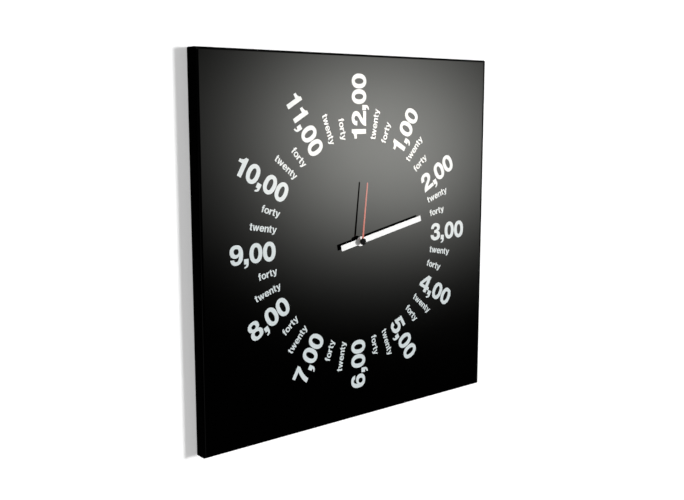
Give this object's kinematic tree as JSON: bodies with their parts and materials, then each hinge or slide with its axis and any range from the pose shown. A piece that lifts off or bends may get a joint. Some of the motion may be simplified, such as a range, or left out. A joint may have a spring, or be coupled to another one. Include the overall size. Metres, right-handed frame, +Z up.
{
  "type": "word clock",
  "caption": "Square wall clock with words and hours printed radially on a folded steel panel, an hour hand, a second hand and a battery quartz movement.",
  "frame": {"origin": "on the wall plane, where the axis of the hands meets it", "axes": "+X to the right seen from the front, +Z up, +Y into the wall"},
  "size_m": [0.5, 0.0309, 0.5],
  "materials": {
    "panel_black": "gloss",
    "dial_print": "satin",
    "hour_hand_white": "satin",
    "second_hand_red": "satin",
    "cap_black": "satin",
    "black_plated": "satin",
    "washer_rubber": "matte",
    "case_plastic": "satin",
    "knob_plastic": "satin",
    "wheel_plastic": "satin",
    "bridge_plastic": "satin",
    "bobbin_plastic": "satin",
    "pipe_nickel": "satin",
    "bush_brass": "satin",
    "shaft_steel": "polished",
    "core_iron": "satin",
    "magnet_black": "matte",
    "winding_copper": "gloss",
    "board_green": "satin",
    "chip_resin": "gloss",
    "crystal_can": "polished",
    "contact_nickel": "gloss",
    "cell_wrap": "gloss",
    "cell_pole": "polished"
  },
  "bodies": {
    "root": {"front_panel": "panel_black", "rubber_washer": "washer_rubber", "flat_washer": "black_plated", "bush_nut": "black_plated", "threaded_bush": "bush_brass", "front_case": "case_plastic", "rear_cover": "case_plastic", "bridge_plate": "bridge_plastic", "stator": "core_iron", "coil_core": "core_iron", "coil_bobbin": "bobbin_plastic", "coil_winding": "winding_copper", "circuit_board": "board_green", "quartz_crystal": "crystal_can", "clock_chip": "chip_resin", "negative_contact": "contact_nickel", "positive_contact": "contact_nickel"},
    "battery": {"battery_can": "cell_wrap", "battery_cap": "cell_pole"},
    "rotor": {"rotor_magnet": "magnet_black", "rotor_pinion": "wheel_plastic"},
    "intermediate": {"intermediate_wheel": "wheel_plastic"},
    "second": {"second_wheel": "wheel_plastic", "second_arbor": "shaft_steel", "second_hand": "second_hand_red", "second_hand_cap": "cap_black"},
    "third": {"third_wheel": "wheel_plastic"},
    "centre": {"centre_wheel": "wheel_plastic"},
    "minute": {"minute_pipe": "pipe_nickel"},
    "motion": {"motion_wheel": "wheel_plastic"},
    "hour": {"hour_wheel": "wheel_plastic", "hour_hand": "hour_hand_white", "hour_hand_collet": "bush_brass"},
    "setting": {"setting_spindle": "wheel_plastic", "setting_knob": "knob_plastic"}
  },
  "joints": [
    {"name": "second_turn", "type": "hinge", "parent": "root", "child": "second", "pos_m": [0, 0, 0], "axis": [0, 1, 0], "continuous": true},
    {"name": "intermediate_turn", "type": "hinge", "parent": "root", "child": "intermediate", "pos_m": [0.00904, 0, 0.00242], "axis": [0, 1, 0], "continuous": true},
    {"name": "rotor_turn", "type": "hinge", "parent": "root", "child": "rotor", "pos_m": [0.01604, 0, 0.00242], "axis": [0, 1, 0], "continuous": true},
    {"name": "third_turn", "type": "hinge", "parent": "root", "child": "third", "pos_m": [-0.0054, 0, 0.00935], "axis": [0, 1, 0], "continuous": true},
    {"name": "centre_turn", "type": "hinge", "parent": "root", "child": "centre", "pos_m": [0, 0, 0], "axis": [0, 1, 0], "continuous": true},
    {"name": "hour_turn", "type": "hinge", "parent": "root", "child": "hour", "pos_m": [0, 0, 0], "axis": [0, 1, 0], "continuous": true},
    {"name": "motion_turn", "type": "hinge", "parent": "root", "child": "motion", "pos_m": [-0.00788, 0, -0.00139], "axis": [0, 1, 0], "continuous": true},
    {"name": "minute_turn", "type": "hinge", "parent": "root", "child": "minute", "pos_m": [0, 0, 0], "axis": [0, 1, 0], "continuous": true},
    {"name": "setting_turn", "type": "hinge", "parent": "root", "child": "setting", "pos_m": [-0.01625, 0, -0.00212], "axis": [0, 1, 0], "continuous": true},
    {"name": "battery_slide", "type": "slide", "parent": "root", "child": "battery", "axis": [0, 1, 0], "range_m": [0, 0.016]}
  ],
  "couplings": [
    {"joint": "intermediate_turn", "follows": "second_turn", "ratio": -5},
    {"joint": "rotor_turn", "follows": "second_turn", "ratio": 30},
    {"joint": "third_turn", "follows": "second_turn", "ratio": -0.13333},
    {"joint": "centre_turn", "follows": "second_turn", "ratio": 0.016667},
    {"joint": "motion_turn", "follows": "hour_turn", "ratio": -4},
    {"joint": "minute_turn", "follows": "hour_turn", "ratio": 12},
    {"joint": "setting_turn", "follows": "hour_turn", "ratio": 10}
  ]
}
